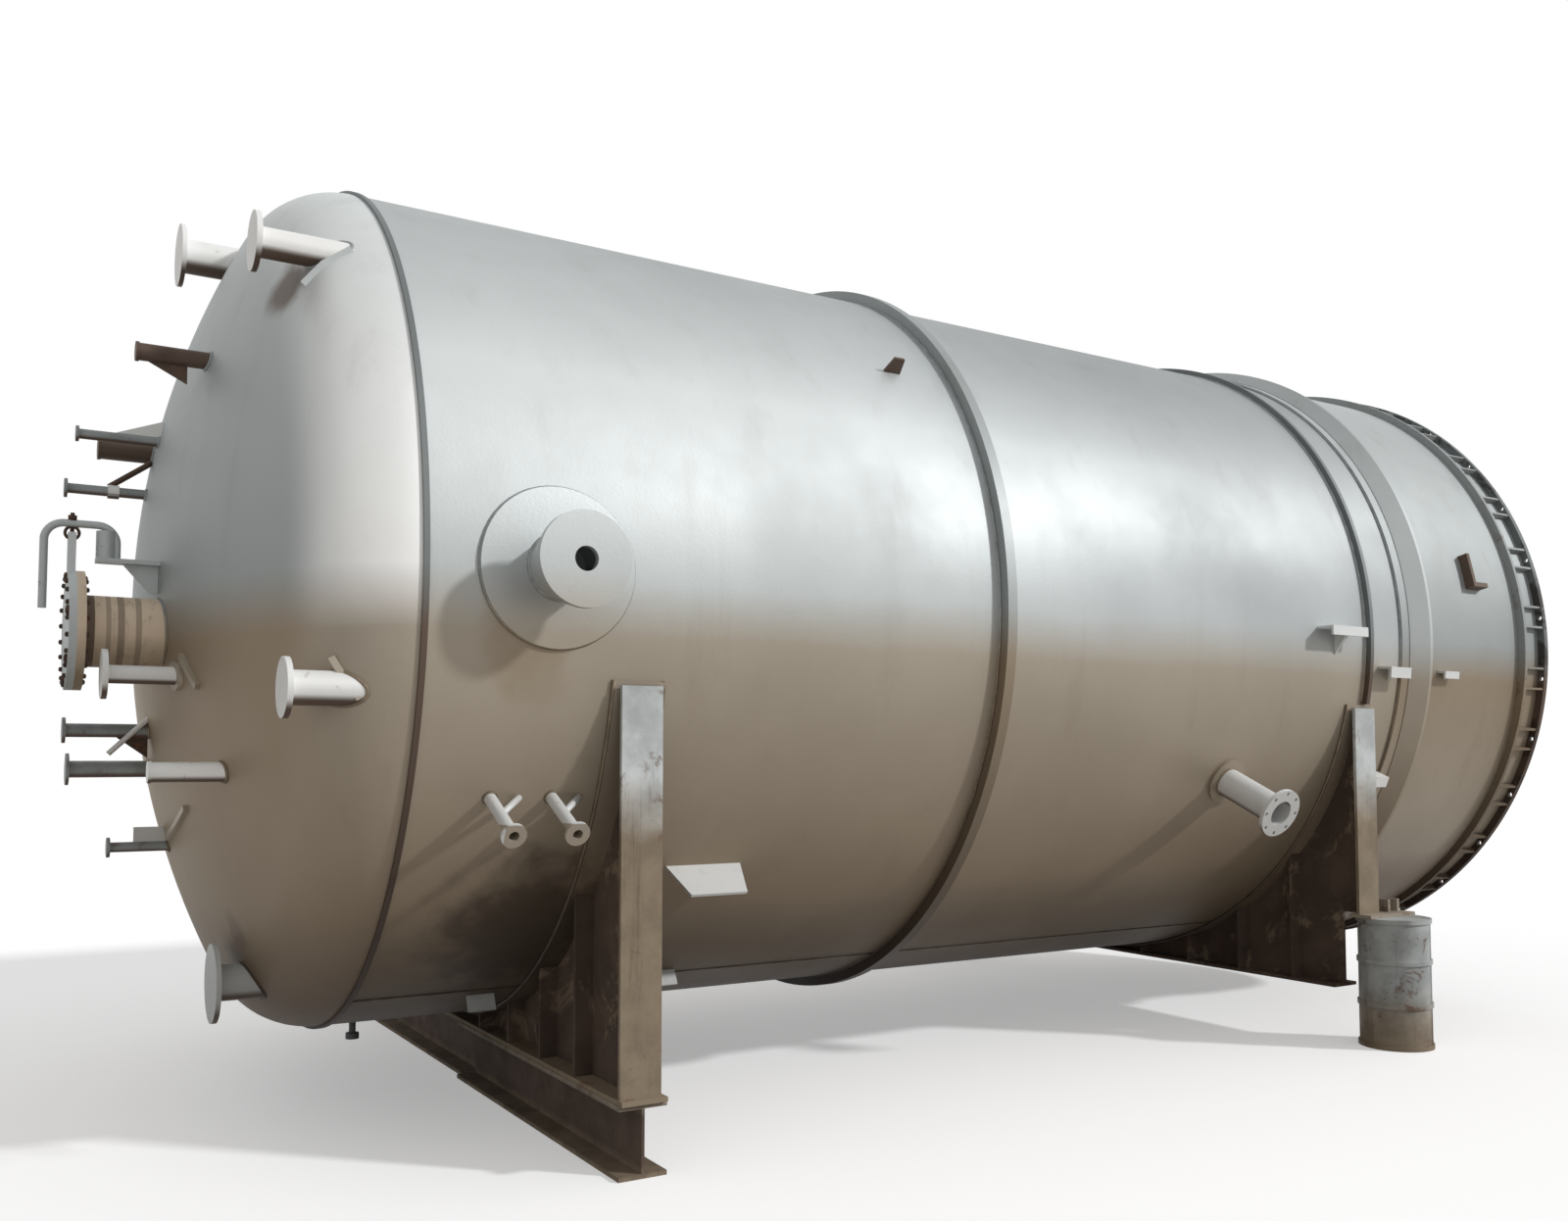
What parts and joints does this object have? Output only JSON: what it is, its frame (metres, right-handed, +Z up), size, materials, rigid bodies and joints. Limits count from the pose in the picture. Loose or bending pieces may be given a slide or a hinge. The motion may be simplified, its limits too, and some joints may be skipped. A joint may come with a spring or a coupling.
{
  "type": "storage tank",
  "caption": "Large silver process tank with a skirt, lying on saddles set on beams and drums, with dished heads, manway, nozzles and lifting trunnions.",
  "frame": {"origin": "on the ground under the middle of the overall box", "axes": "+X along the vessel from the manway end to the open skirt, +Z up, -Y the side with the rear nozzle"},
  "size_m": [9.005, 4.78, 4.674],
  "materials": {
    "head_skin": "satin silver plate, dulled by dust",
    "shell_skin": "satin silver plate, faint rolling bands",
    "skirt_skin": "satin silver plate, dusty",
    "seam_band": "dark weathered band",
    "stiffening_ring": "satin flat bar with darker faces",
    "skirt_band": "satin, plain grey",
    "base_rings": "weathered steel, brown dust",
    "trunnion": "satin machined plate",
    "pads": "satin plate",
    "nozzle": "bright satin pipe",
    "small_nozzle": "satin pipe, some dark",
    "manway": "satin, brown dust",
    "clip": "bright flat plate",
    "wrapper": "satin plate",
    "saddle": "dark weathered steel, brown dust",
    "saddle_end": "grey primer, brown dust at the foot",
    "beam": "dark mill steel, rusty edges",
    "drum": "old grey drum, brown stains"
  },
  "bodies": {
    "root": {"front_head": "head_skin", "rear_head": "head_skin", "front_shell_upper": "shell_skin", "front_shell_lower": "shell_skin", "rear_shell_upper": "shell_skin", "rear_shell_lower": "shell_skin", "skirt_upper": "skirt_skin", "skirt_lower": "skirt_skin", "head_seam_ring": "seam_band", "middle_ring": "stiffening_ring", "rear_ring": "stiffening_ring", "skirt_band": "skirt_band", "base_ring": "base_rings", "chair_ring": "base_rings", "chair_gussets": "base_rings", "near_trunnion": "trunnion", "far_trunnion": "trunnion", "reinforcing_pads": "pads", "upper_near_nozzle": "nozzle", "upper_far_nozzle": "nozzle", "middle_near_nozzle": "nozzle", "edge_near_nozzle": "nozzle", "bottom_nozzle": "nozzle", "rear_side_nozzle": "nozzle", "drip_nozzles": "nozzle", "bottom_drain": "nozzle", "upper_small_nozzles": "small_nozzle", "lower_small_nozzles": "small_nozzle", "manway_neck": "manway", "manway_cover": "manway", "manway_davit": "manway", "front_clips": "clip", "rear_clips": "clip", "saddle_wrappers": "wrapper", "front_saddle_web": "saddle", "rear_saddle_web": "saddle", "front_saddle_base": "saddle", "rear_saddle_base": "saddle", "front_saddle_end_plates": "saddle_end", "rear_saddle_end_plates": "saddle_end", "rear_foot_plates": "saddle_end", "near_beam": "beam", "far_beam": "beam", "near_drum": "drum", "far_drum": "drum"}
  },
  "joints": []
}
